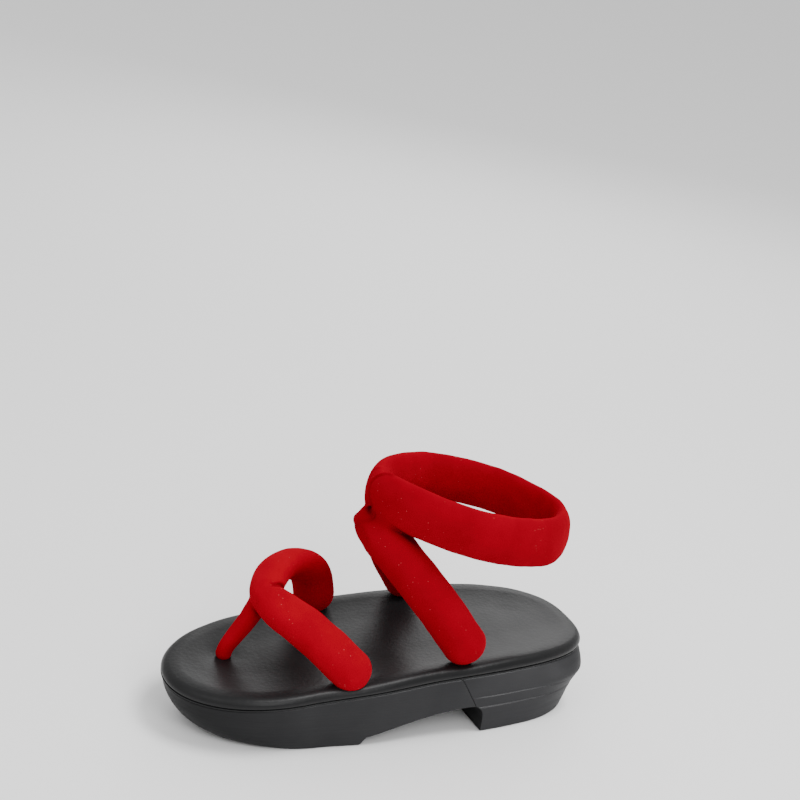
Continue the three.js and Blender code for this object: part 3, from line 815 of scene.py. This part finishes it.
def footbed_material():
    """Black satin synthetic leather with a fine grain."""
    n = Nodes("black_leatherette")
    grain = n.noise(420, kind=CELLS)
    pores = n.noise(1400, 2, 0.6)
    cloud = n.noise(30, 4, 0.6)
    colour = n.ramp(cloud, [(0.3, (0.005, 0.005, 0.0054)), (0.7, (0.0085, 0.0085, 0.009))])
    rough = n.math("ADD", n.math("MULTIPLY", cloud, 0.12), 0.33)
    low = n.bump(cloud, 0.0012, 0.1)
    mid = n.bump(grain, 0.00025, 0.2, low)
    top = n.bump(pores, 0.00012, 0.35, mid)
    n.set(Base_Color=colour, Roughness=rough, Specular_IOR_Level=0.2, Normal=top)
    return n.material


def platform_material():
    """Black satin moulded foam with faint streaks along the sole."""
    n = Nodes("black_moulded_foam")
    streak = n.noise(60, 4, 0.65, stretch=(1.0, 0.06, 5.0))
    fine = n.noise(900, 2, 0.6)
    cloud = n.noise(22, 4, 0.55)
    colour = n.ramp(cloud, [(0.3, (0.0045, 0.0045, 0.005)), (0.7, (0.0075, 0.0075, 0.008))])
    rough = n.math("ADD", n.math("MULTIPLY", streak, 0.25), 0.36)
    streaked = n.bump(streak, 0.0006, 0.3)
    grained = n.bump(fine, 0.0001, 0.35, streaked)
    n.set(Base_Color=colour, Roughness=rough, Specular_IOR_Level=0.1, Normal=grained)
    return n.material


# Studio lights: place and target in metres, width and height in metres, and power in watts.
# The low lamp at the side lights the platform alone
LIGHTS = {
    "key": ((1.1, -0.1, 1.0), (0, 0, 0.05), (0.6, 0.6), 7.5),
    "top": ((0.3, 0.3, 1.3), (0, 0, 0.05), (0.5, 0.5), 14),
    "fill": ((0.4, -1.1, 1.3), (0, 0, 0.06), (0.9, 0.9), 4.5),
    "back": ((-0.9, 0.6, 0.55), (0, 0, 0.04), (0.8, 0.4), 3),
    "side": ((0.33, 0.17, 0.07), (0.045, 0.06, 0.02), (0.26, 0.12), 4),
}
WORLD_STRENGTH = 0.9
FLOOR_HALF = 3.0


def area_light(name, place, aim, size, power):
    lamp = bpy.data.lights.new(name, "AREA")
    lamp.shape = "RECTANGLE"
    lamp.size, lamp.size_y = size
    lamp.energy = power
    thing = bpy.data.objects.new(name, lamp)
    thing.location = place
    thing.visible_camera = False
    thing.rotation_euler = (Vector(aim) - Vector(place)).to_track_quat("-Z", "Y").to_euler()
    bpy.context.scene.collection.objects.link(thing)
    return thing


def light_only(lamp, piece):
    """Keeps a lamp's light to one piece."""
    lit = bpy.data.collections.new(lamp.name + "_lit")
    lit.objects.link(piece)
    lamp.light_linking.receiver_collection = lit


def make_stage():
    """Pale floor, white surroundings and the lights, which are returned by name."""
    mesh = bpy.data.meshes.new("floor")
    corners = [(x * FLOOR_HALF, y * FLOOR_HALF, 0) for x, y in ((-1, -1), (1, -1), (1, 1), (-1, 1))]
    mesh.from_pydata(corners, [], [(0, 1, 2, 3)])
    floor = bpy.data.objects.new("floor", mesh)
    bpy.context.scene.collection.objects.link(floor)
    n = Nodes("pale_floor")
    n.set(Base_Color=(0.9, 0.9, 0.9, 1), Roughness=0.7)
    mesh.materials.append(n.material)
    world = bpy.data.worlds.new("studio")
    world.use_nodes = True
    colour, strength = world.node_tree.nodes["Background"].inputs[:2]
    colour.default_value = (1, 1, 1, 1)
    strength.default_value = WORLD_STRENGTH
    bpy.context.scene.world = world
    return {name: area_light(name, *row) for name, row in LIGHTS.items()}


# Camera fitted to the photo: azimuth, elevation, roll, distance, focal length in pixels of an
# 800 pixel frame, and where the sandal's origin falls in that frame
CAMERA = {"azimuth": 59.35, "elevation": 22.54, "roll": 10.96, "distance": 1.2,
          "focal": 2052.33, "frame": 800, "origin": (366.05, 701.33)}
SENSOR_WIDTH = 36


def make_camera():
    azimuth, elevation, roll = (math.radians(CAMERA[k]) for k in ("azimuth", "elevation", "roll"))
    back = Vector((math.sin(azimuth) * math.cos(elevation), -math.cos(azimuth) * math.cos(elevation),
                   math.sin(elevation)))
    level = (-back).cross(Vector((0, 0, 1))).normalized()
    upright = level.cross(-back)
    right = math.cos(roll) * level + math.sin(roll) * upright
    up = -math.sin(roll) * level + math.cos(roll) * upright
    middle = CAMERA["frame"] / 2
    step = CAMERA["distance"] / CAMERA["focal"]
    x = (CAMERA["origin"][0] - middle) * step
    y = -(CAMERA["origin"][1] - middle) * step
    camera = bpy.data.objects.new("camera", bpy.data.cameras.new("camera"))
    place = -x * right - y * up + CAMERA["distance"] * back
    turn = Matrix((right, up, back)).transposed().to_4x4()
    camera.matrix_world = Matrix.Translation(place) @ turn
    camera.data.sensor_width = SENSOR_WIDTH
    camera.data.lens = CAMERA["focal"] / CAMERA["frame"] * SENSOR_WIDTH
    camera.data.clip_end = 20
    bpy.context.scene.collection.objects.link(camera)
    bpy.context.scene.camera = camera


def finish_piece(piece, material, node):
    """Gives a piece its material and puts it in the place of its CAD node."""
    piece.data.materials.clear()
    piece.data.materials.append(material)
    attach(piece, "root")
    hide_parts(node)


make_camera()
lights = make_stage()

plush = plush_material()
platform = make_platform()
finish_piece(platform, platform_material(), "platform")
footbed = make_footbed()
finish_piece(footbed, footbed_material(), "footbed")
light_only(lights["side"], platform)
toe_strap = make_toe_strap()
finish_piece(toe_strap, plush, "toe_strap")
ankle_strap = make_ankle_strap()
finish_piece(ankle_strap, plush, "ankle_strap")
